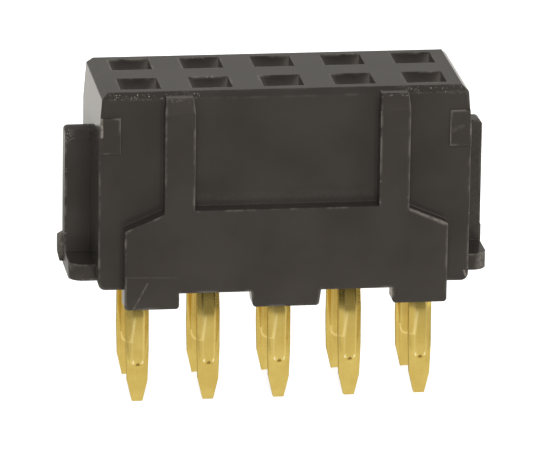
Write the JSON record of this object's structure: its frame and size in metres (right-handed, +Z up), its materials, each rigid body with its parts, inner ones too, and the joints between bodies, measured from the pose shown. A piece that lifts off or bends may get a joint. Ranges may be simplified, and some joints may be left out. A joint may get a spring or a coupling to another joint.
{
  "type": "pcb socket connector",
  "caption": "Upright board-mount socket with rows of square pin cavities, keying ribs, end latches, stand-off feet and gold-plated solder tails in a black moulded housing.",
  "frame": {"origin": "Centre of the contact grid on the board surface, level with the undersides of the feet", "axes": "+X along the contact rows, +Y from the keyed front to the back, +Z up out of the board towards the mating face"},
  "size_m": [0.012, 0.005, 0.0092],
  "materials": {
    "black_plastic": "fine matte moulded",
    "gold_plate": "gold plated, satin"
  },
  "bodies": {
    "root": {"housing": "black_plastic", "contact_a1": "gold_plate", "contact_a2": "gold_plate", "contact_a3": "gold_plate", "contact_a4": "gold_plate", "contact_a5": "gold_plate", "contact_b1": "gold_plate", "contact_b2": "gold_plate", "contact_b3": "gold_plate", "contact_b4": "gold_plate", "contact_b5": "gold_plate"}
  },
  "joints": []
}
